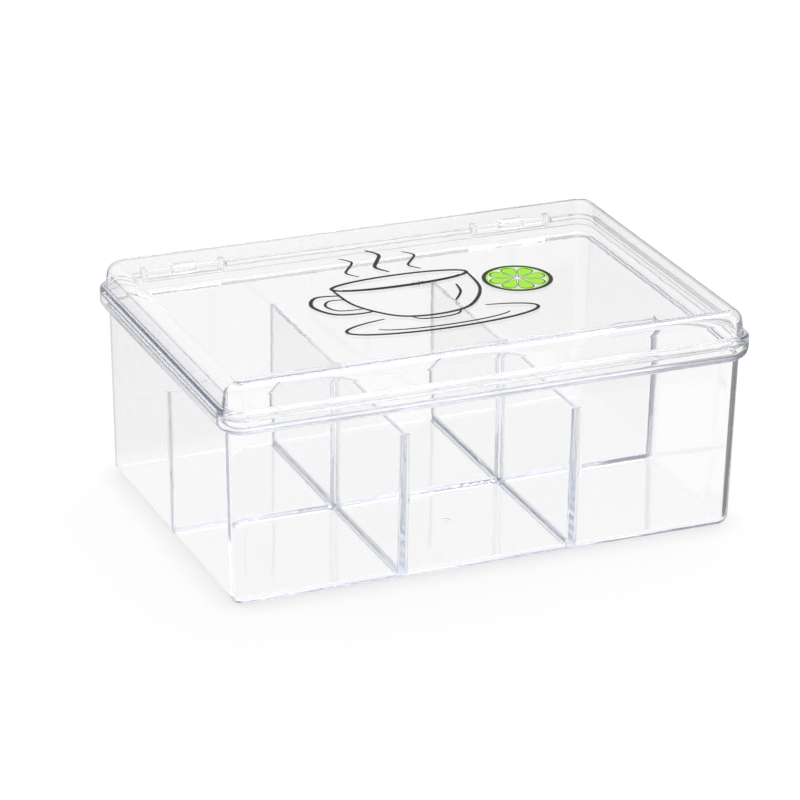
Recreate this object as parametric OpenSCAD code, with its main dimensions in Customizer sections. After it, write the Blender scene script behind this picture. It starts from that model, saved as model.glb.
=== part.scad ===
// Tea bag organizer box: a clear moulded tray with six compartments and a domed
// lid on two snap hinges. Millimetres, Z up, X along the front, Y towards the hinges.
// The origin is on the table, under the middle of the box and its hinge knuckles.

/* [Outline] */
// Length of the box over its rim
box_length = 215; // [180:1:260]
// Width of the box over its rim, without the hinge knuckles
box_width = 148; // [120:1:190]
// Height of the closed box
box_height = 89; // [86:1:110]
// Corner radius of the rim, seen from above
rim_corner_r = 10; // [9.8:0.1:14]

/* [Tray] */
// Thickness of the walls of the tray and the lid
wall = 2; // [1.6:0.1:2.2]
// Thickness of the floor
floor_t = 2; // [1.6:0.1:3]
// Height of the top edge of the tray, where the lid rests
tray_height = 77; // [70:0.5:77]
// How far the foot of the wall stands in from the rim
foot_inset = 5.1; // [4.6:0.1:5.2]
// How far the top of the wall stands in from the rim
shoulder_inset = 3.6; // [3.4:0.1:4]
// Outer radius of the rounded shoulder under the rim
shoulder_r = 4.6; // [4.2:0.1:4.8]
// Outer radius of the bottom edge
foot_r = 4; // [2:0.1:4]

/* [Dividers] */
// Height of the top edges of the dividers above the table
divider_height = 59.5; // [30:0.5:62]
// Thickness of a divider at its top edge
divider_top_t = 1.5; // [1.2:0.1:2]
// Thickness of a divider at the floor
divider_foot_t = 2; // [1.5:0.1:2.4]
// Distance of each cross divider from the middle of the box
cross_spacing = 34.8; // [25:0.1:45]
// Radius of the fillets along the feet and crossings of the dividers
divider_fillet = 1.5; // [0.8:0.1:2]

/* [Lid] */
// Gap between the lid and the top edge of the tray
lid_gap = 0.1; // [0.1:0.05:0.4]
// Thickness of the lid's flange
flange_t = 2.2; // [1.8:0.1:2.4]
// How far the foot of the dome stands in from the rim
dome_inset = 2.3; // [2.2:0.1:3]
// Draft of the dome's wall over its height
dome_draft = 0.5; // [0:0.1:1]
// Outer radius of the dome's top edge
dome_r = 5.1; // [4:0.1:5.4]
// Depth of the rib that locates the lid inside the rim
rib_depth = 2; // [1:0.1:2.5]

/* [Hinges] */
// Distance of each hinge's outer lug from the end of the box
hinge_end_gap = 19.7; // [16:0.1:30]
// Distance between the outer faces of a hinge's two lugs
hinge_width = 34.4; // [26:0.2:40]
// Radius of the hinge pin
pin_r = 1.1; // [1:0.05:1.2]
// Radial clearance of the pin in its clip
pin_clearance = 0.05; // [0.03:0.01:0.08]
// Width of the lid's clip round the pin
clip_width = 9.6; // [8:0.2:16]
// Outer radius of the clip round the pin
clip_r = 2.1; // [1.9:0.05:2.1]

/* [Hidden] */

$fn = 64;
tiny = 0.01;
// how far a cut runs out past the solid, and how far a shape reaches into the one it joins
overcut = 1;
overlap = 0.1;

// distance of each hinge's middle from the middle of the box
hinge_spacing = box_length / 2 - hinge_end_gap - hinge_width / 2;

// the hinge knuckles stand behind the rim, and the origin is midway along the whole depth
knuckle_depth = 2;
mid_y = -knuckle_depth / 2;
rim_back_y = mid_y + box_width / 2;

// rim and shoulder of the tray; an inset is measured inwards from the outer edge of the rim
rim_side_h = 2.9;
shoulder_z = tray_height - rim_side_h;
shoulder_angle = acos((shoulder_r - shoulder_inset) / shoulder_r);
wall_top_z = shoulder_z - shoulder_r * sin(shoulder_angle);
edge_round = 0.4;
floor_fillet = 2.4;
// share of the ledge inside the shoulder that its rounded edge takes
ledge_share = 0.9;

// lid levels
flange_z = tray_height + lid_gap;
ledge_z = flange_z + flange_t;
flange_round = 1.4;
rib_clearance = 0.5;
rib_inset = wall + rib_clearance;
rib_bottom_z = flange_z - rib_depth;

// round marks left where the plastic entered the moulds, one on the lid and one under the tray
mark_depth = 0.3;
lid_mark_r = 4;
tray_mark_r = 2.3;
tray_mark_y = -28;

// hinge axis, with the pin over a window in the rear rim; the clip's mouth is a share of the pin
axis_y = rim_back_y + knuckle_depth - clip_r;
axis_z = flange_z + flange_t / 2;
lug_t = 2;
lug_rise = 1.6;
lug_drop = 4;
lug_front = 1.2;
lug_clearance = 0.4;
window_floor_z = axis_z - clip_r - lug_clearance;
mouth_share = 0.8;
clip_face_y = rim_back_y - rib_inset;

// steps along each rounded corner and each rounded edge
corner_steps = 10;
edge_steps = 6;

// Points of a level outline, inset from the rim by e, at height z
function ring(e, z) =
    let (r = rim_corner_r - e, x = box_length / 2 - rim_corner_r, y = box_width / 2 - rim_corner_r)
    [for (quarter = [0:3]) for (i = [0:corner_steps])
        let (a = 90 * (quarter + i / corner_steps),
             sx = (quarter == 0 || quarter == 3) ? 1 : -1,
             sy = quarter < 2 ? 1 : -1)
        [sx * x + r * cos(a), mid_y + sy * y + r * sin(a), z]];

// Points [inset, height] along an arc about [e, z], from angle a0 to a1
function arc(e, z, r, a0, a1) =
    [for (i = [0:edge_steps]) let (a = a0 + (a1 - a0) * i / edge_steps) [e + r * cos(a), z + r * sin(a)]];

// Solid through the outlines that a list of [inset, height] points gives, closed at both ends
module loft(profile) {
    n = 4 * (corner_steps + 1);
    last = len(profile) - 1;
    points = [for (p = profile) each ring(p[0], p[1])];
    sides = [for (k = [0:last - 1]) for (i = [0:n - 1])
        let (a = k * n + i, b = k * n + (i + 1) % n) each [[a, a + n, b + n], [a, b + n, b]]];
    start_cap = [for (i = [0:n - 1]) i];
    end_cap = [for (i = [n - 1:-1:0]) last * n + i];
    polyhedron(points = points, faces = concat(sides, [start_cap, end_cap]));
}

// Inset of the tray's outer wall at height z: straight, with draft
function wall_inset(z) = foot_inset + (shoulder_inset - foot_inset) * z / wall_top_z;

// Outside of the tray: rounded foot, drafted wall, shoulder that swells out to the rim
tray_outside = concat(
    arc(wall_inset(foot_r) + foot_r, foot_r, foot_r, 270, 180),
    arc(shoulder_r, shoulder_z, shoulder_r, 180 + shoulder_angle, 180),
    [[0, tray_height - edge_round], [edge_round, tray_height]]);

// Back of the rim, from its top edge down to the ledge inside the shoulder
tray_rim_inside = concat(
    [[wall - edge_round, tray_height], [wall, tray_height - edge_round]],
    arc(shoulder_r, shoulder_z, shoulder_r - wall, 180, 270));

// Inside of the tray's wall, from the ledge down to the floor
step_z = shoulder_z - shoulder_r + wall;
step_fillet = ledge_share * (wall_inset(step_z) + wall - shoulder_r);
tray_inside = concat(
    arc(wall_inset(step_z) + wall - step_fillet, step_z - step_fillet, step_fillet, 90, 0),
    arc(wall_inset(floor_t + floor_fillet) + wall + floor_fillet, floor_t + floor_fillet,
        floor_fillet, 180, 270));

// Space inside the walls, up to just under the ledge
module tray_cavity() {
    loft([for (i = [len(tray_inside) - 1:-1:edge_steps]) tray_inside[i]]);
}

// Shallow round recess of radius r about x = 0, from height z upwards
module mould_mark(r, y, z) {
    translate([0, y, z]) cylinder(r = r, h = mark_depth + tiny);
}

module tray_shell() {
    color("aliceblue", 0.35)
    difference() {
        loft(concat(tray_outside, tray_rim_inside, tray_inside));
        for (side = [-1, 1]) hinge_window(side);
        mould_mark(tray_mark_r, tray_mark_y, -tiny);
    }
}

// Opening in the rear rim that the clip turns in, between the two lugs
module hinge_window(side) {
    w = hinge_width - 2 * lug_t;
    translate([side * hinge_spacing - w / 2, rim_back_y - wall - overcut, window_floor_z])
        cube([w, wall + 2 * overcut, tray_height - window_floor_z + overcut]);
}

// Cross-section of a divider: tapered upwards, with a fillet on each side of its foot
module divider_section() {
    h = divider_height - floor_t;
    polygon([[-divider_foot_t / 2, 0], [divider_foot_t / 2, 0],
             [divider_top_t / 2, h], [-divider_top_t / 2, h]]);
    for (s = [-1, 1]) mirror([s < 0 ? 1 : 0, 0]) difference() {
        foot = divider_foot_t / 2 - overlap;
        translate([foot, 0]) square([divider_fillet + overlap, divider_fillet]);
        translate([divider_foot_t / 2 + divider_fillet, divider_fillet]) circle(r = divider_fillet);
    }
}

// A divider over the whole length or width of the box, not yet cut to the walls
module long_panel() {
    translate([-box_length / 2, mid_y, floor_t]) rotate([90, 0, 90])
        linear_extrude(box_length) divider_section();
}

module cross_panel(side) {
    translate([side * cross_spacing, mid_y + box_width / 2, floor_t]) rotate([90, 0, 0])
        linear_extrude(box_width) divider_section();
}

// Rounded inner corners where two dividers cross, as one post with four hollow sides
module crossing_post(side) {
    reach = divider_foot_t / 2 + divider_fillet;
    translate([side * cross_spacing, mid_y, floor_t])
        linear_extrude(divider_height - floor_t) difference() {
            square(2 * reach, center = true);
            for (sx = [-1, 1], sy = [-1, 1])
                translate([sx * reach, sy * reach]) circle(r = divider_fillet);
        }
}

module long_divider() {
    color("lavender", 0.5)
    union() {
        intersection() {
            long_panel();
            tray_cavity();
        }
        for (side = [-1, 1]) crossing_post(side);
    }
}

module cross_divider(side) {
    color("lavender", 0.5)
    difference() {
        intersection() {
            cross_panel(side);
            tray_cavity();
        }
        long_panel();
        crossing_post(side);
    }
}

module left_cross_divider() { cross_divider(-1); }
module right_cross_divider() { cross_divider(1); }

// Two lugs that stand on the rear rim, hold the pin and stop the opened lid
module hinge_lugs(side) {
    color("lavender", 0.5)
    for (end = [-1, 1])
        translate([side * hinge_spacing + end * (hinge_width - lug_t) / 2 + lug_t / 2, 0, 0])
            rotate([0, -90, 0]) linear_extrude(lug_t) lug_side();
}

// Side view of a lug, drawn with height along X and depth along Y
module lug_side() {
    back = rim_back_y + knuckle_depth;
    polygon([[tray_height, rim_back_y - wall + edge_round], [axis_z + lug_rise, axis_y - lug_front],
             [axis_z + lug_rise, back], [axis_z - clip_r, back],
             [axis_z - lug_drop, rim_back_y], [tray_height - edge_round, rim_back_y],
             [tray_height, rim_back_y - edge_round]]);
}

module left_hinge_lugs() { hinge_lugs(-1); }
module right_hinge_lugs() { hinge_lugs(1); }

// Round bar between the two lugs
module hinge_pin(side) {
    w = hinge_width - 2 * lug_t;
    color("lavender", 0.5)
    translate([side * hinge_spacing - w / 2, axis_y, axis_z]) rotate([0, 90, 0]) cylinder(r = pin_r, h = w);
}

module left_hinge_pin() { hinge_pin(-1); }
module right_hinge_pin() { hinge_pin(1); }

// Inside of the lid from its ceiling down to the locating rib
lid_inside = concat(
    arc(dome_inset + dome_draft + dome_r, box_height - dome_r, dome_r - wall, 90, 180),
    [[dome_inset + wall, rib_bottom_z + edge_round], [dome_inset + wall - edge_round, rib_bottom_z],
     [rib_inset + edge_round, rib_bottom_z], [rib_inset, rib_bottom_z + edge_round], [rib_inset, flange_z]]);

// Outside of the lid from the flange up over the dome
lid_outside = concat(
    [[0, flange_z]],
    arc(flange_round, ledge_z - flange_round, flange_round, 180, 90),
    [[dome_inset, ledge_z]],
    arc(dome_inset + dome_draft + dome_r, box_height - dome_r, dome_r, 180, 90));

module lid_shell() {
    color("aliceblue", 0.35)
    difference() {
        loft(concat(lid_inside, lid_outside));
        for (side = [-1, 1]) lug_notch(side);
        mould_mark(lid_mark_r, mid_y, box_height - mark_depth);
    }
}

// Cut in the lid's flange that clears the lugs and the pin
module lug_notch(side) {
    w = hinge_width + 2 * lug_clearance;
    translate([side * hinge_spacing - w / 2, clip_face_y, flange_z - tiny])
        cube([w, rib_inset + overcut, flange_t + 2 * tiny]);
}

// Clip on the lid that snaps over the pin, with its mouth facing down
module hinge_clip(side) {
    bore_r = pin_r + pin_clearance;
    mouth = mouth_share * 2 * pin_r;
    color("aliceblue", 0.5)
    translate([side * hinge_spacing - clip_width / 2, axis_y, axis_z])
        difference() {
            union() {
                rotate([0, 90, 0]) cylinder(r = clip_r, h = clip_width);
                translate([0, clip_face_y - axis_y, -flange_t / 2])
                    cube([clip_width, axis_y - clip_face_y, flange_t]);
            }
            translate([-overcut, 0, 0]) rotate([0, 90, 0])
                cylinder(r = bore_r, h = clip_width + 2 * overcut);
            translate([-overcut, -mouth / 2, -clip_r - overcut])
                cube([clip_width + 2 * overcut, mouth, clip_r + overcut]);
        }
}

module left_hinge_clip() { hinge_clip(-1); }
module right_hinge_clip() { hinge_clip(1); }

tray_shell();
long_divider();
left_cross_divider();
right_cross_divider();
left_hinge_lugs();
right_hinge_lugs();
left_hinge_pin();
right_hinge_pin();
lid_shell();
left_hinge_clip();
right_hinge_clip();
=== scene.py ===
from math import acos, asin, atan, atan2, cos, degrees, hypot, pi, radians, sin, sqrt

import bmesh
import bpy
from mathutils import Matrix, Vector


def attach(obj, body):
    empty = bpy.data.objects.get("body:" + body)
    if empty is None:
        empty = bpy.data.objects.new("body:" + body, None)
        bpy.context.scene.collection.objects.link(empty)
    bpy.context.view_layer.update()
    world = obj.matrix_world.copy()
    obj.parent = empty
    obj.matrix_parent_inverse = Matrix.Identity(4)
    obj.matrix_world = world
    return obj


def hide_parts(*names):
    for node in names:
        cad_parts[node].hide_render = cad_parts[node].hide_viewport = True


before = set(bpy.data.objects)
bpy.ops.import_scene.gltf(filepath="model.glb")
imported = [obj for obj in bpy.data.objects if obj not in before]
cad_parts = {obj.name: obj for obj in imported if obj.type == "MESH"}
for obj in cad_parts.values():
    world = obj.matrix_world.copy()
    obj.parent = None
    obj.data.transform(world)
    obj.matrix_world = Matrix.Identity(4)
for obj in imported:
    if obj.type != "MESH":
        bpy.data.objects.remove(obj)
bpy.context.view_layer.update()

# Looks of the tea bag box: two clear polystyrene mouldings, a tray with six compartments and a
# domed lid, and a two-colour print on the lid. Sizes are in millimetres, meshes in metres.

scene = bpy.context.scene
MM = 0.001

# Outline, as in the part's source. An inset is measured inwards from the outer edge of the rim.
LENGTH, WIDTH, HEIGHT = 215, 148, 89
MID_Y = -1
RIM_BACK_Y = MID_Y + WIDTH / 2
RIM_R = 10

# Tray
WALL, FLOOR, TRAY_TOP = 2, 2, 77
FOOT_INSET, SHOULDER_INSET, SHOULDER_R, FOOT_R = 5.1, 3.6, 4.6, 4
SHOULDER_Z = TRAY_TOP - 2.9
WALL_TOP_Z = SHOULDER_Z - sqrt(SHOULDER_R**2 - (SHOULDER_R - SHOULDER_INSET) ** 2)
WALL_LEAN = atan((FOOT_INSET - SHOULDER_INSET) / WALL_TOP_Z)
LEDGE_Z = SHOULDER_Z - SHOULDER_R + WALL
EDGE_R, SHOULDER_FILLET, STEP_R = 0.4, 0.6, 0.8

# Dividers
CROSS_X, DIVIDER_TOP, DIVIDER_TOP_T, DIVIDER_FOOT_T = 34.8, 59.5, 1.5, 2
DIVIDER_LEAN = atan((DIVIDER_FOOT_T - DIVIDER_TOP_T) / 2 / (DIVIDER_TOP - FLOOR))
POCKET_R, DIVIDER_EDGE = 2, 0.35

# Lid. Its top lies lower by the ink's thickness, so that the print keeps the box's height.
INK_T, INK_GAP = 0.04, 0.01
LID_TOP = HEIGHT - INK_T
FLANGE_Z, LID_LEDGE_Z, FLANGE_R = TRAY_TOP + 0.1, TRAY_TOP + 2.3, 1.4
DOME_INSET, DOME_DRAFT, DOME_R, DOME_FILLET = 2.3, 0.5, 5.1, 0.5
RIB_INSET, RIB_Z = 2.5, FLANGE_Z - 2

# Hinges
HINGE_X, HINGE_W = 70.6, 34.4
LUG_T, LUG_BACK, LUG_FRONT, LUG_DROP, LUG_TOP = 2, 2, 1.3, 4, 79.8
AXIS_INSET, AXIS_Z = 0.1, 78.2
PIN_R, BORE_R, CLIP_R, CLIP_W, CLIP_MOUTH, WEB_T = 1.1, 1.15, 2.1, 9.6, 0.88, 2.2
# BITE is how far a joined part reaches into its moulding, OVERCUT how far a cut goes past it.
BITE, OVERCUT, WINDOW_GAP, CLEAR_GAP = 0.3, 1, 0.02, 0.4
WINDOW_Z = AXIS_Z - CLIP_R - CLEAR_GAP

# Marks where the plastic entered the moulds: place, radius
LID_MARK, TRAY_MARK = ((0, MID_Y), 4), ((0, -28), 2.3)
MARK_DEPTH, NUB_R, NUB_H = 0.3, 0.8, 0.2

# Print, from the middle of the lid
BOLD, FINE = 1.6, 1.1
SLICE_MIDDLE, SLICE_R, SLICE_PARTS = (37.5, -8), 13, 8
RIND_T, RIND_INSET, RIND_TOP = 1.1, 1.05, HEIGHT - 0.01
SEGMENT_REACH, SEGMENT_LENGTH, SEGMENT_WIDTH, SEGMENT_RIM = 6.3, 4.6, 4.0, 0.5
RIM_TOP, SEGMENT_TOP = 0.022, 0.034  # above the lid
INK_GRAIN = 0.6

# Plastic: waves in its surface, per metre and in millimetres, and the toner in it, per metre
WAVE_SCALE, WAVE_HEIGHT = 75.0, 0.04
TONER, TONER_DENSITY = (0.12, 0.2, 0.5, 1), 2.8

# Table and room. 1 is white. GLOW is how much of the table glows where it is seen straight or
# through the plastic. The mirrored levels are for light that was mirrored once: the table's are
# painted reflection levels, greyer to the rear, and the dark one is a painted dark reflection
# beside the right end. The contact reach is how far the table's painted contact shade spreads.
GROUND_RINGS, GROUND_GAP, PAINTED_CONTACT_REACH = (0, 400, 12000), 0.3, 10
GLOW, GLOW_THROUGH = 0.8, 0.98
MIRRORED_FRONT, MIRRORED_REAR, MIRRORED_ROOM, PAINTED_DARK_REFLECTION = 0.97, 0.72, 0.84, 0.2
ROOM_LIGHT = 0.78
# Soft edges of the table's painted levels, in metres, each from its first value to its second
REAR_EDGE, PAINTED_DARK_NEAR, PAINTED_DARK_FAR, PAINTED_DARK_FRONT = (0.06, 0.085), (0.1, 0.112), (0.25, 0.4), (-0.1, -0.085)
# painted pool of light on the table: bright round the box and dark beyond, met by light mirrored more than
# once
PAINTED_POOL_EDGE, PAINTED_POOL_BEYOND = (0.13, 0.25), 0.08
LAMP_AIM = (0, 0, 0.045)
BOUNCES, CLEAR_BOUNCES = 200, 64  # light runs far inside the plastic before it leaves it

# Camera, fitted to the straight edges of the box in the photo: focal length and middle in pixels
PHOTO_SIZE, FOCAL, MIDDLE_X, MIDDLE_Y, SENSOR = 800, 3954.46, 391.91, 399.51, 36
CAMERA_PLACE = (-560.47, -1300.85, 632.59)

CORNER_STEPS, ARC_STEPS, FINE_STEPS, EDGE_STEPS, ROUND_STEPS = 12, 8, 14, 4, 40
QUARTERS = ((1, 1), (-1, 1), (-1, -1), (1, -1))
NORMAL = "true_normal"
MERGE_GAP = 0.002
SHARP_BELOW = 0.9995  # cosine of the angle between two normals
TURN = 2 * pi


# Profiles: pieces of an outline, each a list of (inset, height, outward, upward), the last two
# being the surface's normal. They run up the outside, over the top and down the inside.
def arc(centre, r, start, end, steps=ARC_STEPS):
    turn = 1 if end > start else -1
    angles = [radians(start + (end - start) * i / steps) for i in range(steps + 1)]
    return [
        (centre[0] + r * cos(a), centre[1] + r * sin(a), turn * cos(a), -turn * sin(a))
        for a in angles
    ]


def line(a, b):
    de, dz = b[0] - a[0], b[1] - a[1]
    size = hypot(de, dz)
    return [(*p[:2], dz / size, de / size) for p in (a, b)]


def profile(*parts):
    """Arcs and single points in their order, joined by straight pieces."""
    pieces, last = [], None
    for part in parts:
        if last and hypot(last[0] - part[0][0], last[1] - part[0][1]) > 1e-6:
            pieces.append(line(last, part[0]))
        if len(part) > 1:
            pieces.append(part)
        last = part[-1]
    return pieces


def touch_angle(centre, r, point):
    """Angle on a dome's arc where the straight wall that rises from point touches it."""
    de, dz = point[0] - centre[0], point[1] - centre[1]
    return degrees(atan2(dz, de)) % 360 - degrees(acos(r / hypot(de, dz)))


def wall_inset(z):
    return FOOT_INSET + (SHOULDER_INSET - FOOT_INSET) * z / WALL_TOP_Z


def tray_profile():
    """From the flat base up the wall, over the rim and down to the tops of the dividers."""
    groove = SHOULDER_INSET - SHOULDER_FILLET
    drop = sqrt((SHOULDER_R + SHOULDER_FILLET) ** 2 - (SHOULDER_R - groove) ** 2)
    meet = degrees(atan2(drop, SHOULDER_R - groove))
    shoulder, step = (SHOULDER_R, SHOULDER_Z), wall_inset(LEDGE_Z) + WALL - STEP_R
    return profile(
        arc((wall_inset(FOOT_R) + FOOT_R, FOOT_R), FOOT_R, 270, 180 + degrees(WALL_LEAN)),
        arc((groove, SHOULDER_Z - drop), SHOULDER_FILLET, 0, meet, EDGE_STEPS),
        arc(shoulder, SHOULDER_R, 180 + meet, 180, FINE_STEPS),
        arc((EDGE_R, TRAY_TOP - EDGE_R), EDGE_R, 180, 90, EDGE_STEPS),
        arc((WALL - EDGE_R, TRAY_TOP - EDGE_R), EDGE_R, 90, 0, EDGE_STEPS),
        arc(shoulder, SHOULDER_R - WALL, 180, 270),
        arc((step, LEDGE_Z - STEP_R), STEP_R, 90, 0),
        [(wall_inset(DIVIDER_TOP) + WALL, DIVIDER_TOP)],
    )


def lid_profile():
    """From the ceiling down inside the dome, round the rib, over the flange and up the dome."""
    dome, rib = (DOME_INSET + DOME_DRAFT + DOME_R, LID_TOP - DOME_R), RIB_Z + EDGE_R
    inside = (DOME_INSET + WALL, rib)
    foot = (DOME_INSET - DOME_FILLET, LID_LEDGE_Z + DOME_FILLET)
    return profile(
        arc(dome, DOME_R - WALL, 90, touch_angle(dome, DOME_R - WALL, inside)),
        arc((inside[0] - EDGE_R, rib), EDGE_R, 0, -90, EDGE_STEPS),
        arc((RIB_INSET + EDGE_R, rib), EDGE_R, 270, 180, EDGE_STEPS),
        [(RIB_INSET, FLANGE_Z)],
        arc((EDGE_R, FLANGE_Z + EDGE_R), EDGE_R, 270, 180, EDGE_STEPS),
        arc((FLANGE_R, LID_LEDGE_Z - FLANGE_R), FLANGE_R, 180, 90),
        arc(foot, DOME_FILLET, 270, 360, EDGE_STEPS),
        arc(dome, DOME_R, touch_angle(dome, DOME_R, (DOME_INSET, foot[1])), 90, FINE_STEPS),
    )


def lug_profile():
    """Side of a hinge lug, from the rear of the rim up, over its top and down into the rim."""
    r, foot = EDGE_R, [(BITE, AXIS_Z - LUG_DROP - BITE)]
    return profile(
        foot,
        [(-LUG_BACK, AXIS_Z - CLIP_R)],
        arc((r - LUG_BACK, LUG_TOP - r), r, 180, 90, EDGE_STEPS),
        arc((LUG_FRONT - r, LUG_TOP - r), r, 90, 0, EDGE_STEPS),
        [(LUG_FRONT + BITE, TRAY_TOP - BITE)],
        [(BITE, TRAY_TOP - BITE)],
        foot,
    )


def clip_profile():
    """Clip round the hinge pin, its mouth downwards, with the web that holds it to the lid."""
    pin, half = (AXIS_INSET, AXIS_Z), WEB_T / 2
    sines = CLIP_MOUTH / CLIP_R, CLIP_MOUTH / BORE_R, half / CLIP_R
    lip, bore, web = (degrees(asin(x)) for x in sines)
    return profile(
        arc(pin, CLIP_R, 270 - lip, web, FINE_STEPS),
        [(RIB_INSET + BITE, AXIS_Z + half)],
        [(RIB_INSET + BITE, AXIS_Z - half)],
        arc(pin, CLIP_R, -web, lip - 90, EDGE_STEPS),
        arc(pin, BORE_R, bore - 90, 270 - bore, FINE_STEPS),
        [(AXIS_INSET - CLIP_MOUTH, AXIS_Z - CLIP_R * cos(radians(lip)))],
    )


class Skin:
    """Faces of one closed form, in millimetres. Each corner is a point with the true normal of
    the surface there, and faces turn round together to agree with their normals."""

    def __init__(self):
        self.corners, self.faces = [], []

    def strip(self, faces):
        along = 0
        for corners in faces:
            points, across, outward = [p for p, n in corners], Vector(), Vector()
            for a, b in zip(points, points[1:] + points[:1]):
                across += a.cross(b)
            for p, n in corners:
                outward += n
            along += across.dot(outward)
        for corners in faces:
            start = len(self.corners)
            self.corners += corners if along > 0 else corners[::-1]
            self.faces.append(range(start, start + len(corners)))

    def flat(self, points, normal):
        self.strip([[(Vector(p), Vector(normal)) for p in points]])

    def band(self, a, b):
        """Quads between two closed rings."""
        self.strip([[a[i - 1], a[i], b[i], b[i - 1]] for i in range(len(a))])

    def mesh(self, name):
        """The form in metres, its patches merged along their common edges."""
        mesh = bpy.data.meshes.new(name)
        mesh.from_pydata([p * MM for p, n in self.corners], [], self.faces)
        layer = mesh.attributes.new(NORMAL, "FLOAT_VECTOR", "CORNER")
        normals = [self.corners[i][1].normalized() for face in self.faces for i in face]
        layer.data.foreach_set("vector", [x for n in normals for x in n])
        bm = bmesh.new()
        bm.from_mesh(mesh)
        bmesh.ops.remove_doubles(bm, verts=bm.verts, dist=MERGE_GAP * MM)
        bm.to_mesh(mesh)
        bm.free()
        return mesh


def stations(stops_x, stops_y):
    """Places round the box: the middle of each arc or the foot of each stop, and the way out."""
    x, y, found = LENGTH / 2 - RIM_R, WIDTH / 2 - RIM_R, []
    for q, (sx, sy) in enumerate(QUARTERS):
        for i in range(CORNER_STEPS + 1):
            a = radians(90 * (q + i / CORNER_STEPS))
            found.append((sx * x, MID_Y + sy * y, cos(a), sin(a)))
        if q % 2 == 0:
            found += [(s, MID_Y + sy * y, 0, sy) for s in sorted(stops_x, reverse=q == 0)]
        else:
            found += [(sx * x, s, sx, 0) for s in sorted(stops_y, reverse=q == 1)]
    return found


def ring(places, e, z, out, up):
    r = RIM_R - e
    return [
        (Vector((x + r * dx, y + r * dy, z)), Vector((dx * out, dy * out, up)))
        for x, y, dx, dy in places
    ]


def sweep(skin, places, pieces):
    for piece in pieces:
        for a, b in zip(piece, piece[1:]):
            skin.band(ring(places, *a), ring(places, *b))


def turn_round(skin, centre, pieces):
    """Round form about an upright axis, from pieces of (radius, height, outward, upward)."""
    turns = [radians(360 * i / ROUND_STEPS) for i in range(ROUND_STEPS)]
    for piece in pieces:
        rings = [
            [
                (
                    Vector((centre[0] + r * cos(a), centre[1] + r * sin(a), z)),
                    Vector((out * cos(a), out * sin(a), up)),
                )
                for a in turns
            ]
            for r, z, out, up in piece
        ]
        for a, b in zip(rings, rings[1:]):
            skin.band(a, b)


def marked_flat(skin, places, e, z, up, mark):
    """Flat top or base with a round mark sunk in it: a shallow recess with a low torn nub.
    The flat is made of two halves that meet on either side of the mark."""
    (x, y), r = mark
    rim = [p for p, n in ring(places, e, z, 0, up)]
    hole = [
        Vector((x + r * cos(a), y + r * sin(a), z))
        for a in (radians(360 * i / ROUND_STEPS) for i in range(ROUND_STEPS + 1))
    ]
    left, right = (
        min((i for i, p in enumerate(rim) if p.x * side > 0), key=lambda i: abs(rim[i].y - y))
        for side in (-1, 1)
    )
    rim, count, half = rim[right:] + rim[:right], (left - right) % len(rim), ROUND_STEPS // 2
    skin.flat(rim[: count + 1] + hole[half::-1], (0, 0, up))
    skin.flat(rim[count:] + rim[:1] + hole[:half - 1:-1], (0, 0, up))
    deep, top = z - up * MARK_DEPTH, z - up * (MARK_DEPTH - NUB_H)
    turn_round(
        skin,
        (x, y),
        [
            [(r, z, -1, 0), (r, deep, -1, 0)],
            [(r, deep, 0, up), (NUB_R, deep, 0, up)],
            [(NUB_R, deep, 0.5, 0.8 * up), (NUB_R / 2, top, 0.5, 0.8 * up), (0, top, 0, up)],
        ],
    )


def extrusion(name, pieces, x0, x1):
    """A profile at the rear of the rim, extended along the box from x0 to x1."""
    skin = Skin()

    def at(x, p):
        return Vector((x, RIM_BACK_Y - p[0], p[1])), Vector((0, p[2], p[3]))

    first, last = pieces[0][0], pieces[-1][-1]
    if hypot(first[0] - last[0], first[1] - last[1]) > 1e-6:
        pieces = pieces + [line(last, first)]
    for piece in pieces:
        for a, b in zip(piece, piece[1:]):
            skin.strip([[at(x0, a), at(x1, a), at(x1, b), at(x0, b)]])
    outline = [p for piece in pieces for p in piece[:-1]]
    for x, way in ((x0, -1), (x1, 1)):
        skin.flat([at(x, p)[0] for p in outline], (way, 0, 0))
    return skin.mesh(name)


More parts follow.
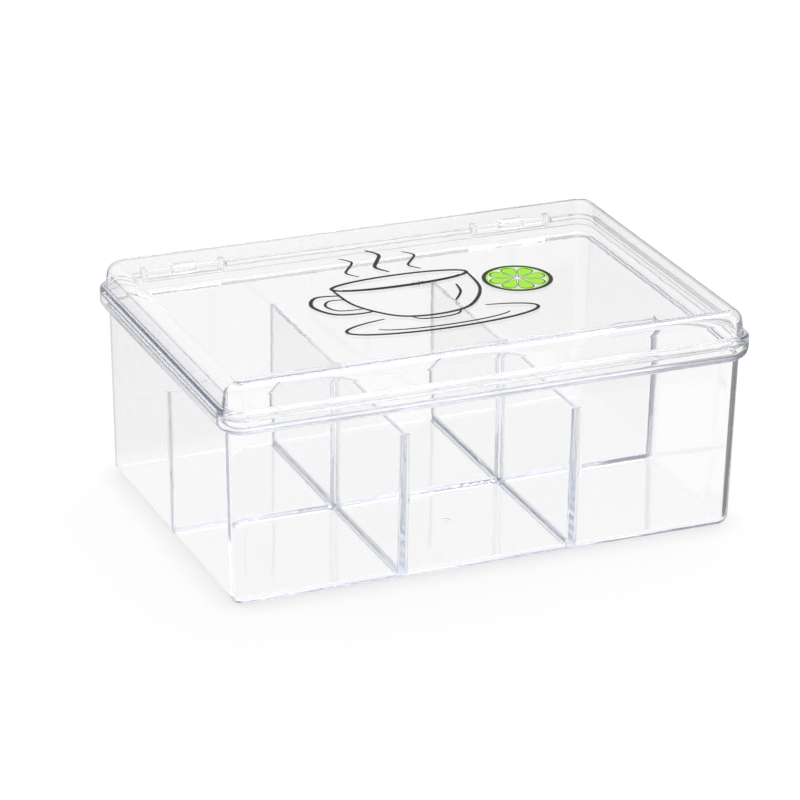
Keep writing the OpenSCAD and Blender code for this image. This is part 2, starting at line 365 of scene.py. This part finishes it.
class Compartment:
    """One of the six pockets: each side is a wall of the box, None, or a divider's middle."""

    def __init__(self, left, right, front, rear):
        self.sides = {(-1, 0): left, (1, 0): right, (0, -1): front, (0, 1): rear}
        self.places = []
        for q, (sx, sy) in enumerate(QUARTERS):
            for i in range(CORNER_STEPS + 1):
                a = radians(90 * (q + i / CORNER_STEPS))
                share = sum(
                    (self.sides[way] is not None) * part
                    for way, part in (((sx, 0), cos(a) ** 2), ((0, sy), sin(a) ** 2))
                )
                self.places.append((sx, sy, a, share, WALL_LEAN + (DIVIDER_LEAN - WALL_LEAN) * share))

    def side(self, way, z):
        sign, middle = sum(way), self.sides[way]
        if middle is None:
            half, middle = (LENGTH / 2, 0) if way[0] else (WIDTH / 2, MID_Y)
            return middle + sign * (half - wall_inset(z) - WALL)
        share = (z - FLOOR) / (DIVIDER_TOP - FLOOR)
        return middle - sign * (DIVIDER_FOOT_T + (DIVIDER_TOP_T - DIVIDER_FOOT_T) * share) / 2

    def spot(self, place, z, inset, out, up):
        sx, sy, a, share, lean = place
        ways = (sx, 0), (0, sy)
        r = POCKET_R if any(self.sides[w] is not None for w in ways) else RIM_R - wall_inset(z) - WALL
        x, y = self.side(ways[0], z) - sx * r, self.side(ways[1], z) - sy * r
        r = max(r - inset, 0)
        return Vector((x + r * cos(a), y + r * sin(a), z)), Vector((out * cos(a), out * sin(a), up))

    def top_edge(self, angle):
        """Ring on the dividers' rounded top edges. Where a side is a wall, it stays on the wall."""
        found = []
        for place in self.places:
            share, lean = place[3:]
            r, a = DIVIDER_EDGE * share, radians(angle)
            tilt = Vector((-cos(lean), sin(lean))).lerp(
                Vector((-cos(a + lean * cos(a)), sin(a + lean * cos(a)))), share
            )
            found.append(self.spot(place, DIVIDER_TOP - r * (1 - sin(a)), r * (cos(a) - 1), *tilt))
        return found

    def foot(self, angle):
        """Ring on the fillet between the sides and the floor."""
        a, found = radians(angle), []
        for place in self.places:
            tilt = a - place[4] * cos(a)
            z, inset = FLOOR + POCKET_R * (1 + sin(a)), POCKET_R * (1 + cos(a))
            found.append(self.spot(place, z, inset, cos(tilt), -sin(tilt)))
        return found

    def add_to(self, skin):
        """Adds the faces and gives back the four rounded corners of the mouth."""
        rings = [self.top_edge(90 - 90 * i / EDGE_STEPS) for i in range(EDGE_STEPS + 1)]
        rings += [self.foot(180 + 90 * i / ARC_STEPS) for i in range(ARC_STEPS + 1)]
        for a, b in zip(rings, rings[1:]):
            skin.band(a, b)
        skin.flat([p for p, n in rings[-1]], (0, 0, 1))
        mouth, n = [p for p, n in rings[0]], CORNER_STEPS + 1
        return [mouth[q * n : (q + 1) * n] for q in range(4)]


def tray_skin():
    skin = Skin()
    half = DIVIDER_TOP_T / 2 + POCKET_R
    stops_x = [s * CROSS_X + t for s in (-1, 1) for t in (-half, half)]
    places = stations(stops_x, [MID_Y - half, MID_Y + half])
    pieces = tray_profile()
    sweep(skin, places, pieces)
    marked_flat(skin, places, pieces[0][0][0], 0, -1, TRAY_MARK)
    columns = (None, -CROSS_X), (-CROSS_X, CROSS_X), (CROSS_X, None)
    rows = (None, MID_Y), (MID_Y, None)
    mouths = [[Compartment(*c, *r).add_to(skin) for r in rows] for c in columns]

    # flat tops of the dividers: where they cross, where they meet a wall, and between
    for c in range(2):
        (front_l, rear_l), (front_r, rear_r) = mouths[c], mouths[c + 1]
        crossing = [rear_r[2], rear_l[3], front_l[0], front_r[1]]
        skin.flat([p for corner in crossing for p in corner[::-1]], (0, 0, 1))
        skin.flat(front_r[2][::-1] + front_l[3][::-1], (0, 0, 1))
        skin.flat(rear_l[0][::-1] + rear_r[1][::-1], (0, 0, 1))
        for left, right in ((front_l, front_r), (rear_l, rear_r)):
            skin.flat([left[3][-1], right[2][0], right[1][-1], left[0][0]], (0, 0, 1))
    for c in range(3):
        front, rear = mouths[c]
        skin.flat([front[1][0], front[0][-1], rear[3][0], rear[2][-1]], (0, 0, 1))
    skin.flat(mouths[0][0][1][::-1] + mouths[0][1][2][::-1], (0, 0, 1))
    skin.flat(mouths[2][1][3][::-1] + mouths[2][0][0][::-1], (0, 0, 1))
    return skin


def lid_skin():
    skin, places, pieces = Skin(), stations([], [LID_MARK[0][1]]), lid_profile()
    sweep(skin, places, pieces)
    e, z = pieces[0][0][:2]
    skin.flat([p for p, n in ring(places, e, z, 0, -1)], (0, 0, -1))
    marked_flat(skin, places, pieces[-1][-1][0], LID_TOP, 1, LID_MARK)
    return skin


def join(mesh, steps):
    """Adds to or cuts from a mesh, one (operation, mesh) after another."""
    body = bpy.data.objects.new("moulding_in_work", mesh)
    scene.collection.objects.link(body)
    for operation, tool_mesh in steps:
        tool = bpy.data.objects.new("tool", tool_mesh)
        scene.collection.objects.link(tool)
        cut = body.modifiers.new("join", "BOOLEAN")
        cut.operation, cut.object, cut.solver = operation, tool, "EXACT"
        done = body.evaluated_get(bpy.context.evaluated_depsgraph_get())
        done = bpy.data.meshes.new_from_object(done)
        body.modifiers.remove(cut)
        body.data = done
        bpy.data.objects.remove(tool)
        bpy.data.meshes.remove(tool_mesh)
    mesh = body.data
    bpy.data.objects.remove(body)
    return mesh


def shade(mesh):
    """Gives each corner its true normal, turned outwards where a cut made the face, and marks
    the edges where two surfaces meet at an angle as sharp."""
    values, normals, met = [0.0] * (3 * len(mesh.loops)), {}, {}
    mesh.attributes[NORMAL].data.foreach_get("vector", values)
    mesh.attributes.remove(mesh.attributes[NORMAL])
    for face in mesh.polygons:
        face.use_smooth = True
        loops = list(face.loop_indices)
        for i in loops:
            n = Vector(values[3 * i : 3 * i + 3]).normalized()
            normals[i] = n if n.dot(face.normal) > 0 else -n
        for i, j in zip(loops, loops[1:] + loops[:1]):
            a, b = mesh.loops[i], mesh.loops[j]
            ends = {a.vertex_index: normals[i], b.vertex_index: normals[j]}
            other = met.setdefault(a.edge_index, ends)
            if any(other[v].dot(n) < SHARP_BELOW for v, n in ends.items()):
                mesh.edges[a.edge_index].use_edge_sharp = True
    mesh.normals_split_custom_set([normals[i] for i in range(len(mesh.loops))])


def piece(name, mesh, body, slot, material):
    obj = bpy.data.objects.new(name, mesh)
    scene.collection.objects.link(obj)
    mesh.materials.clear()
    mesh.materials.append(material)
    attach(obj, body)
    return obj


def block(x0, x1, e0, e1, z0, z1):
    return extrusion("cut", profile([(e0, z0)], [(e0, z1)], [(e1, z1)], [(e1, z0)]), x0, x1)


def hinge_side_parts(side):
    """Steps that add one hinge to the tray, and steps that add it to the lid."""
    x, half, half_clip = side * HINGE_X, HINGE_W / 2, CLIP_W / 2
    bar = half - LUG_T
    pin = arc((AXIS_INSET, AXIS_Z), PIN_R, 270, -90, 2 * FINE_STEPS)
    span = x - bar - WINDOW_GAP, x + bar + WINDOW_GAP
    window = block(*span, -OVERCUT, WALL + 0.2, WINDOW_Z, TRAY_TOP + OVERCUT)
    on_tray = [("DIFFERENCE", window)]
    for end in (-1, 1):
        near, far = sorted((x + end * bar, x + end * half))
        on_tray.append(("UNION", extrusion("lug", lug_profile(), near, far)))
    on_tray.append(("UNION", extrusion("pin", [pin], x - bar - BITE, x + bar + BITE)))
    # the lid's flange, and the fillet at the dome's foot, are cut away where the lugs pass
    span = x - half - CLEAR_GAP, x + half + CLEAR_GAP
    flange = block(*span, -OVERCUT, RIB_INSET, FLANGE_Z - 0.5, LID_LEDGE_Z + 0.01)
    fillet = block(*span, -OVERCUT, DOME_INSET, LID_LEDGE_Z - 0.1, LID_LEDGE_Z + DOME_FILLET + 0.05)
    clip = extrusion("clip", clip_profile(), x - half_clip, x + half_clip)
    on_lid = [("DIFFERENCE", flange), ("DIFFERENCE", fillet), ("UNION", clip)]
    return on_tray, on_lid


# The print: pen lines and a slice of fruit on the lid's top, in millimetres from its middle
def through(points, closed=False, steps=8):
    """Points along a smooth curve through the points given."""
    n, found = len(points), []
    for k in range(n if closed else n - 1):
        a, b, c, d = (
            Vector(points[(k + j) % n] if closed else points[min(max(k + j, 0), n - 1)])
            for j in (-1, 0, 1, 2)
        )
        for i in range(steps):
            t = i / steps
            bend, twist = 2 * a - 5 * b + 4 * c - d, 3 * b - a - 3 * c + d
            found.append(b + (c - a) * t / 2 + bend * t * t / 2 + twist * t**3 / 2)
    return found if closed else found + [Vector(points[-1])]


def pen_line(skin, points, width, top=HEIGHT, closed=False):
    """A line of ink that is thinner at its two ends, or even all round if closed."""
    n, left, right = len(points), [], []
    for i, p in enumerate(points):
        ahead = points[(i + 1) % n] if closed or i < n - 1 else p
        behind = points[i - 1] if closed or i > 0 else p
        way = (ahead - behind).normalized()
        swell = 1 if closed else 0.45 + 0.55 * sin(radians(180 * i / (n - 1))) ** 0.5
        across = Vector((-way.y, way.x)) * width * swell / 2
        left.append(p + across)
        right.append(p - across)
    low = LID_TOP + INK_GAP

    def at(p, z):
        return (p.x, p.y, z)

    for i in range(n if closed else n - 1):
        j = (i + 1) % n
        a, b, c, d = left[i], left[j], right[j], right[i]
        for z, up in ((top, 1), (low, -1)):
            skin.flat([at(p, z) for p in (a, b, c, d)], (0, 0, up))
        for p, q, other in ((a, b, c), (c, d, a)):
            way = (q - p).normalized()
            out = Vector((way.y, -way.x))
            out = out if out.dot(other - p) < 0 else -out
            skin.flat([at(p, low), at(q, low), at(q, top), at(p, top)], (out.x, out.y, 0))
    if not closed:
        for i, back in ((0, 1), (n - 1, n - 2)):
            out = (points[i] - points[back]).normalized()
            p, q = left[i], right[i]
            skin.flat([at(p, low), at(q, low), at(q, top), at(p, top)], (out.x, out.y, 0))


def add(tree, kind, inputs=(), **settings):
    """Adds a node. inputs are values or sockets to link, by name or number."""
    made = tree.nodes.new(kind)
    for name, value in settings.items():
        setattr(made, name, value)
    for key, value in dict(inputs).items():
        if isinstance(value, bpy.types.NodeSocket):
            tree.links.new(value, made.inputs[key])
        else:
            made.inputs[key].default_value = value
    return made


def colour(code):
    """Linear colour of an sRGB hex code."""
    parts = [int(code[i : i + 2], 16) / 255 for i in (1, 3, 5)]
    return (*(c / 12.92 if c <= 0.04045 else ((c + 0.055) / 1.055) ** 2.4 for c in parts), 1)


def material(name):
    made = bpy.data.materials.new(name)
    made.use_nodes = True
    made.node_tree.nodes.clear()
    return made, made.node_tree


def clear_polystyrene():
    """Crystal polystyrene, injection moulded in a polished mould: hard gloss, strong bending of
    light (IOR 1.59), a blue toner that shows lavender in edges, where light runs far through it.
    Slow waves in the wall, a few hundredths of a millimetre high, make reflections wander."""
    made, tree = material("clear_polystyrene")
    place = add(tree, "ShaderNodeTexCoord").outputs["Object"]
    waves = add(tree, "ShaderNodeTexNoise", {"Vector": place, "Scale": WAVE_SCALE, "Detail": 1.0})
    bump = add(tree, "ShaderNodeBump", {"Height": waves.outputs["Fac"], "Distance": WAVE_HEIGHT * MM})
    glass = add(
        tree,
        "ShaderNodeBsdfPrincipled",
        {
            "Base Color": colour("#ffffff"),
            "Roughness": 0.01,
            "IOR": 1.59,
            "Transmission Weight": 1.0,
            "Normal": bump.outputs["Normal"],
        },
    )
    # lamps and the light of the room pass straight through, so the shadow stays as faint as it is
    path = add(tree, "ShaderNodeLightPath")
    passes = add(
        tree,
        "ShaderNodeMath",
        {0: path.outputs["Is Shadow Ray"], 1: path.outputs["Is Diffuse Ray"]},
        operation="MAXIMUM",
    )
    open_way = add(tree, "ShaderNodeBsdfTransparent", {"Color": colour("#f6f6f8")})
    mix = add(
        tree, "ShaderNodeMixShader", {0: passes.outputs[0], 1: glass.outputs[0], 2: open_way.outputs[0]}
    )
    toner = add(tree, "ShaderNodeVolumeAbsorption", {"Color": TONER, "Density": TONER_DENSITY})
    add(tree, "ShaderNodeOutputMaterial", {"Surface": mix.outputs[0], "Volume": toner.outputs[0]})
    return made


def ink(name, dark, light, grain):
    """Pad-printing ink: an opaque satin film, a little uneven where the pad pressed it on."""
    made, tree = material(name)
    place = add(tree, "ShaderNodeTexCoord").outputs["Object"]
    film = add(tree, "ShaderNodeTexNoise", {"Vector": place, "Scale": 1 / (grain * MM), "Detail": 4.0})
    shade_of = add(
        tree,
        "ShaderNodeMix",
        {"Factor": film.outputs["Fac"], "A": colour(dark), "B": colour(light)},
        data_type="RGBA",
    )
    gloss = add(
        tree, "ShaderNodeMapRange", {"Value": film.outputs["Fac"], "To Min": 0.5, "To Max": 0.65}
    )
    bump = add(tree, "ShaderNodeBump", {"Height": film.outputs["Fac"], "Distance": 0.004 * MM})
    body = add(
        tree,
        "ShaderNodeBsdfPrincipled",
        {
            "Base Color": shade_of.outputs["Result"],
            "Roughness": gloss.outputs["Result"],
            "Specular IOR Level": 0.25,
            "Normal": bump.outputs["Normal"],
        },
    )
    add(tree, "ShaderNodeOutputMaterial", {"Surface": body.outputs[0]})
    return made


def printed_segments():
    """Geometry Nodes: the segments of a fruit slice, drop-shaped films of ink that point to its
    middle and repeat round it."""
    tree = bpy.data.node_groups.new("slice_segments", "GeometryNodeTree")
    for name, kind in (
        ("Count", "Int"), ("Middle", "Vector"), ("Reach", "Float"), ("Length", "Float"),
        ("Width", "Float"), ("Thickness", "Float"), ("Ink", "Material"),
    ):
        tree.interface.new_socket(name, in_out="INPUT", socket_type="NodeSocket" + kind)
    tree.interface.new_socket("Geometry", in_out="OUTPUT", socket_type="NodeSocketGeometry")
    given = add(tree, "NodeGroupInput").outputs
    drop = add(tree, "GeometryNodeMeshUVSphere", {"Segments": 28, "Rings": 8, "Radius": 1.0})
    at = add(tree, "ShaderNodeSeparateXYZ", {0: add(tree, "GeometryNodeInputPosition").outputs[0]})
    # half width grows from the tip, near the middle of the slice, to the rind
    wide = add(
        tree, "ShaderNodeMapRange", {"Value": at.outputs["X"], "From Min": -1.0, "To Min": 0.12}
    )
    across = add(
        tree, "ShaderNodeMath", {0: at.outputs["Y"], 1: wide.outputs[0]}, operation="MULTIPLY"
    )
    shape = add(
        tree, "ShaderNodeCombineXYZ", {0: at.outputs["X"], 1: across.outputs[0], 2: at.outputs["Z"]}
    )
    size = add(
        tree, "ShaderNodeCombineXYZ", {0: given["Length"], 1: given["Width"], 2: given["Thickness"]}
    )
    reach = add(tree, "ShaderNodeCombineXYZ", {0: given["Reach"]})
    placed = add(
        tree,
        "ShaderNodeVectorMath",
        {0: shape.outputs[0], 1: size.outputs[0], 2: reach.outputs[0]},
        operation="MULTIPLY_ADD",
    )
    drop = add(
        tree, "GeometryNodeSetPosition", {"Geometry": drop.outputs["Mesh"], "Position": placed.outputs[0]}
    )
    step = add(tree, "ShaderNodeMath", {0: TURN, 1: given["Count"]}, operation="DIVIDE")
    number = add(tree, "GeometryNodeInputIndex")
    turn = add(tree, "ShaderNodeMath", {0: number.outputs[0], 1: step.outputs[0]}, operation="MULTIPLY")
    ring = add(tree, "ShaderNodeCombineXYZ", {2: turn.outputs[0]})
    points = add(
        tree, "GeometryNodePoints", {"Count": given["Count"], "Position": given["Middle"]}
    )
    drops = add(
        tree,
        "GeometryNodeInstanceOnPoints",
        {
            "Points": points.outputs[0],
            "Instance": drop.outputs[0],
            "Rotation": add(tree, "FunctionNodeEulerToRotation", {0: ring.outputs[0]}).outputs[0],
        },
    )
    real = add(tree, "GeometryNodeRealizeInstances", {0: drops.outputs[0]})
    inked = add(
        tree, "GeometryNodeSetMaterial", {"Geometry": real.outputs[0], "Material": given["Ink"]}
    )
    add(tree, "NodeGroupOutput", {0: inked.outputs[0]})
    return tree


def grow(tree, name, **inputs):
    """Mesh that a Geometry Nodes tree makes from these inputs."""
    mesh = bpy.data.meshes.new(name)
    obj = bpy.data.objects.new(name, mesh)
    scene.collection.objects.link(obj)
    made = obj.modifiers.new(name, "NODES")
    made.node_group = tree
    for socket in tree.interface.items_tree:
        if socket.in_out == "INPUT":
            made[socket.identifier] = inputs[socket.name]
    mesh = obj.evaluated_get(bpy.context.evaluated_depsgraph_get())
    mesh = bpy.data.meshes.new_from_object(mesh)
    bpy.data.objects.remove(obj)
    return mesh


def oval(centre, rx, ry, start=0, end=360, steps=40):
    turns = [radians(start + (end - start) * i / steps) for i in range(steps + 1)]
    found = [Vector((centre[0] + rx * cos(a), centre[1] + ry * sin(a))) for a in turns]
    return found[:-1] if end - start == 360 else found


def drawn_cup():
    """Pen drawing of a steaming cup on its saucer."""
    skin, lean = Skin(), 3.2
    bowl = [(-34, 5), (-32, -12), (-23, -26), (-13, -31), (1, -31), (11, -26), (20, -12), (22, 5)]
    lines = [
        (BOLD, oval((-6, 6), 28, 6), True),
        (FINE, oval((-6, 4.6), 24.5, 3.6, 188, 352, 24), False),
        (BOLD, through(bowl), False),
        (BOLD, through([(-33.6, -1), (-43, 0), (-47.5, -8), (-43, -18), (-34, -21), (-27, -20.5)]), False),
        (FINE, through([(-33, -5.5), (-39.5, -5), (-42.5, -9.5), (-39.5, -15.5), (-30.5, -17)]), False),
        (FINE, through([(-16, -31), (-13, -34), (-6, -35), (1, -34), (4, -31)]), False),
        (BOLD, oval((-6, -37), 39, 9, 58, -238, 60), False),
        (FINE, oval((-6, -37.5), 27, 5.4, -8, -172, 30), False),
        (FINE, through([(13, -5), (11.5, -13), (6, -21)]), False),
    ]
    for x, low, high, width in ((-19, 15, 36, FINE), (-6, 16, 41, BOLD), (7, 15, 35, FINE)):
        step = (high - low) / 4
        steam = [(x + lean * (0, -1, 0, 1, 0)[i], low + step * i) for i in range(5)]
        lines.append((width, through(steam), False))
    lines.append((BOLD, oval(SLICE_MIDDLE, SLICE_R, SLICE_R), True))
    for width, points, closed in lines:
        pen_line(skin, points, width, closed=closed)
    return skin.mesh("pen_drawing")


def mirrored(tree):
    """Whether light has been mirrored on or inside the plastic at all, and whether repeatedly."""
    path = add(tree, "ShaderNodeLightPath").outputs
    once, often = (
        add(tree, "ShaderNodeMath", {0: path["Glossy Depth"], 1: depth}, operation="GREATER_THAN")
        for depth in (0.5, 1.5)
    )
    return path, once.outputs[0], often.outputs[0]


def white_table():
    """Seamless white table: matt paint that the studio light brings to white, with the box's
    soft shadow in it, dense only where the box stands, and painted contact shade round its base.
    It glows a little where it is seen straight or through the plastic. Mirrored once it is painted
    a little greyer, greyer to the rear, with a painted dark reflection beside the right end. What
    has run round inside the plastic meets a painted pool of light round the box, dark beyond."""
    made, tree = material("white_table")
    path, once, often = mirrored(tree)
    place = add(tree, "ShaderNodeTexCoord").outputs["Object"]
    spot = add(tree, "ShaderNodeSeparateXYZ", {0: place}).outputs
    away = add(tree, "ShaderNodeVectorMath", {0: place}, operation="LENGTH").outputs["Value"]
    levels = [
        add(
            tree,
            "ShaderNodeMapRange",
            {"Value": value, "From Min": start, "From Max": end, "To Min": low, "To Max": high},
            interpolation_type=kind,
        ).outputs[0]
        for value, (start, end), low, high, kind in (
            (away, PAINTED_POOL_EDGE, 1.0, PAINTED_POOL_BEYOND, "SMOOTHSTEP"),
            (spot["Y"], REAR_EDGE, MIRRORED_FRONT, MIRRORED_REAR, "LINEAR"),
            (spot["X"], PAINTED_DARK_NEAR, 1.0, 0.0, "LINEAR"),
            (spot["X"], PAINTED_DARK_FAR, 0.0, 1.0, "LINEAR"),
            (spot["Y"], PAINTED_DARK_FRONT, 1.0, 0.0, "LINEAR"),
        )
    ]
    # painted dark reflection beside the right end, seen only where the table is mirrored once
    pool, bare, *edges = levels
    off_painted_dark = 0.0  # 0 on the painted dark reflection, 1 beside it
    for edge in edges:
        off_painted_dark = add(tree, "ShaderNodeMath", {0: off_painted_dark, 1: edge}, operation="MAXIMUM").outputs[0]
    level = add(tree, "ShaderNodeMix", {"Factor": off_painted_dark, "A": PAINTED_DARK_REFLECTION, "B": bare}).outputs["Result"]
    # where it is mirrored once, the table's glow is painted greyer, more so to the rear
    level = add(tree, "ShaderNodeMix", {"Factor": once, "A": 1.0, "B": level}).outputs["Result"]
    # light mirrored more than once meets the painted pool of light round the box
    level = add(tree, "ShaderNodeMix", {"Factor": often, "A": level, "B": pool}).outputs["Result"]
    glow = add(tree, "ShaderNodeEmission", {"Color": colour("#ffffff"), "Strength": level})
    # painted contact shade: an occlusion node darkens the paint colour close to the box's base
    near = add(
        tree, "ShaderNodeAmbientOcclusion", {"Color": colour("#fafafa"), "Distance": PAINTED_CONTACT_REACH * MM}
    )
    paint = add(tree, "ShaderNodeBsdfDiffuse", {"Color": near.outputs["Color"]})
    # only paint for diffuse light, and mostly glow where it is seen straight or through
    rays = {0: path["Is Glossy Ray"], 1: path["Is Transmission Ray"]}
    bent = add(tree, "ShaderNodeMath", rays, operation="MAXIMUM").outputs[0]
    bent = add(tree, "ShaderNodeMath", {0: bent, 1: GLOW_THROUGH}, operation="MULTIPLY").outputs[0]
    rays = {0: path["Is Camera Ray"], 1: GLOW, 2: bent}
    share = add(tree, "ShaderNodeMath", rays, operation="MULTIPLY_ADD").outputs[0]
    mix = add(tree, "ShaderNodeMixShader", {0: share, 1: paint.outputs[0], 2: glow.outputs[0]})
    add(tree, "ShaderNodeOutputMaterial", {"Surface": mix.outputs[0]})
    return made


def studio():
    """White room that lights the box evenly, a little greyer where the plastic mirrors it once.
    What has run round inside the plastic meets the room as it is built: a white backdrop, dark
    walls to the sides and the front, and a soft box overhead."""
    world = bpy.data.worlds.new("studio")
    world.use_nodes = True
    scene.world = world
    tree = world.node_tree
    tree.nodes.clear()
    path, once, often = mirrored(tree)
    way = add(tree, "ShaderNodeTexCoord").outputs["Generated"]
    way = add(tree, "ShaderNodeSeparateXYZ", {0: way}).outputs
    aside = add(tree, "ShaderNodeMath", {0: way["X"]}, operation="ABSOLUTE").outputs[0]
    room = 1.0
    for value, start, end, low, high, operation in (
        (way["Y"], -0.6, 0.4, 0.4, 1.0, "MULTIPLY"),
        (aside, 0.55, 0.95, 1.0, 0.3, "MULTIPLY"),
        (way["Z"], 0.45, 0.65, 1.0, 0.5, "MULTIPLY"),
        (way["Z"], 0.8, 0.93, 0.0, 1.0, "MAXIMUM"),
    ):
        part = add(
            tree,
            "ShaderNodeMapRange",
            {"Value": value, "From Min": start, "From Max": end, "To Min": low, "To Max": high},
            interpolation_type="SMOOTHSTEP",
        )
        room = add(tree, "ShaderNodeMath", {0: room, 1: part.outputs[0]}, operation=operation).outputs[0]
    level = ROOM_LIGHT
    for factor, other in ((once, MIRRORED_ROOM), (often, room), (path["Is Camera Ray"], 1.0)):
        level = add(tree, "ShaderNodeMix", {"Factor": factor, "A": level, "B": other}).outputs["Result"]
    light = add(tree, "ShaderNodeBackground", {"Color": colour("#ffffff"), "Strength": level})
    add(tree, "ShaderNodeOutputWorld", {"Surface": light.outputs[0]})


def soft_box(name, place, size, power):
    """Soft box that looks at the box's middle."""
    data = bpy.data.lights.new(name, "AREA")
    data.shape, data.size, data.size_y, data.energy = "RECTANGLE", *size, power
    lamp = bpy.data.objects.new(name, data)
    lamp.location = place
    aim = Vector(LAMP_AIM) - lamp.location
    lamp.rotation_euler = aim.to_track_quat("-Z", "Y").to_euler()
    scene.collection.objects.link(lamp)


# --- the object
polystyrene = clear_polystyrene()
black = ink("black_print", "#0d0d0f", "#1b1b1e", INK_GRAIN)
green = ink("green_print", "#8ed31a", "#a3e22c", INK_GRAIN)

tray_steps, lid_steps = [], []
for side in (-1, 1):
    on_tray, on_lid = hinge_side_parts(side)
    tray_steps += on_tray
    lid_steps += on_lid
tray_mesh = join(tray_skin().mesh("tray_moulding"), tray_steps)
lid_mesh = join(lid_skin().mesh("lid_moulding"), lid_steps)
for mesh in (tray_mesh, lid_mesh):
    shade(mesh)
tray = piece("tray_moulding", tray_mesh, "tray", "clear_polystyrene", polystyrene)
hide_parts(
    "tray_shell", "long_divider", "left_cross_divider", "right_cross_divider", "left_hinge_lugs",
    "right_hinge_lugs", "left_hinge_pin", "right_hinge_pin",
)
lid = piece("lid_moulding", lid_mesh, "lid", "clear_polystyrene", polystyrene)
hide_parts("lid_shell", "left_hinge_clip", "right_hinge_clip")

drawing = drawn_cup()
shade(drawing)
piece("pen_drawing", drawing, "lid", "black_print", black)
rind = Skin()
rind_r = SLICE_R - RIND_INSET
pen_line(rind, oval(SLICE_MIDDLE, rind_r, rind_r), RIND_T, RIND_TOP, closed=True)
rind = rind.mesh("slice_rind")
shade(rind)
piece("slice_rind", rind, "lid", "green_print", green)
tree = printed_segments()
for name, slot, film, spread, top in (
    ("segment_outlines", "black_print", black, SEGMENT_RIM, RIM_TOP),
    ("slice_segments", "green_print", green, 0, SEGMENT_TOP),
):
    half = (top - INK_GAP) / 2
    mesh = grow(
        tree,
        name,
        Count=SLICE_PARTS,
        Middle=Vector((*SLICE_MIDDLE, LID_TOP + INK_GAP + half)) * MM,
        Reach=SEGMENT_REACH * MM,
        Length=(SEGMENT_LENGTH + spread) * MM,
        Width=(SEGMENT_WIDTH + spread) * MM,
        Thickness=half * MM,
        Ink=film,
    )
    piece(name, mesh, "lid", slot, film)

# --- the table
ground = Skin()
turn_round(ground, (0, 0), [[(r, -GROUND_GAP, 0, 1) for r in GROUND_RINGS]])
table = bpy.data.objects.new("white_table", ground.mesh("white_table"))
scene.collection.objects.link(table)
table.data.materials.append(white_table())

# --- the light
studio()
soft_box("left_soft_box", (-0.7, 0.3, 1.2), (0.6, 0.6), 2)
# this one draws the white band along the front of the lid
soft_box("right_soft_box", (0.47, 0.45, 1.12), (0.5, 0.8), 6)

# --- the camera
camera_data = bpy.data.cameras.new("camera")
camera = bpy.data.objects.new("camera", camera_data)
scene.collection.objects.link(camera)
right = Vector((0.92292599, -0.38481569, 0.01115811))
down = Vector((-0.13889071, -0.3598617, -0.92260985))
ahead = Vector((0.35905012, 0.84995085, -0.38557304))
turned = Matrix((right, -down, -ahead)).transposed().to_4x4()
camera.matrix_world = Matrix.Translation(Vector(CAMERA_PLACE) * MM) @ turned
camera_data.sensor_width, camera_data.lens = SENSOR, FOCAL / PHOTO_SIZE * SENSOR
camera_data.shift_x = (PHOTO_SIZE / 2 - MIDDLE_X) / PHOTO_SIZE
camera_data.shift_y = (MIDDLE_Y - PHOTO_SIZE / 2) / PHOTO_SIZE
camera_data.clip_start, camera_data.clip_end = 0.05, 40
scene.camera = camera

scene.view_settings.view_transform = "Standard"
for kind in ("max_bounces", "transmission_bounces", "glossy_bounces"):
    setattr(scene.cycles, kind, BOUNCES)
scene.cycles.transparent_max_bounces = CLEAR_BOUNCES
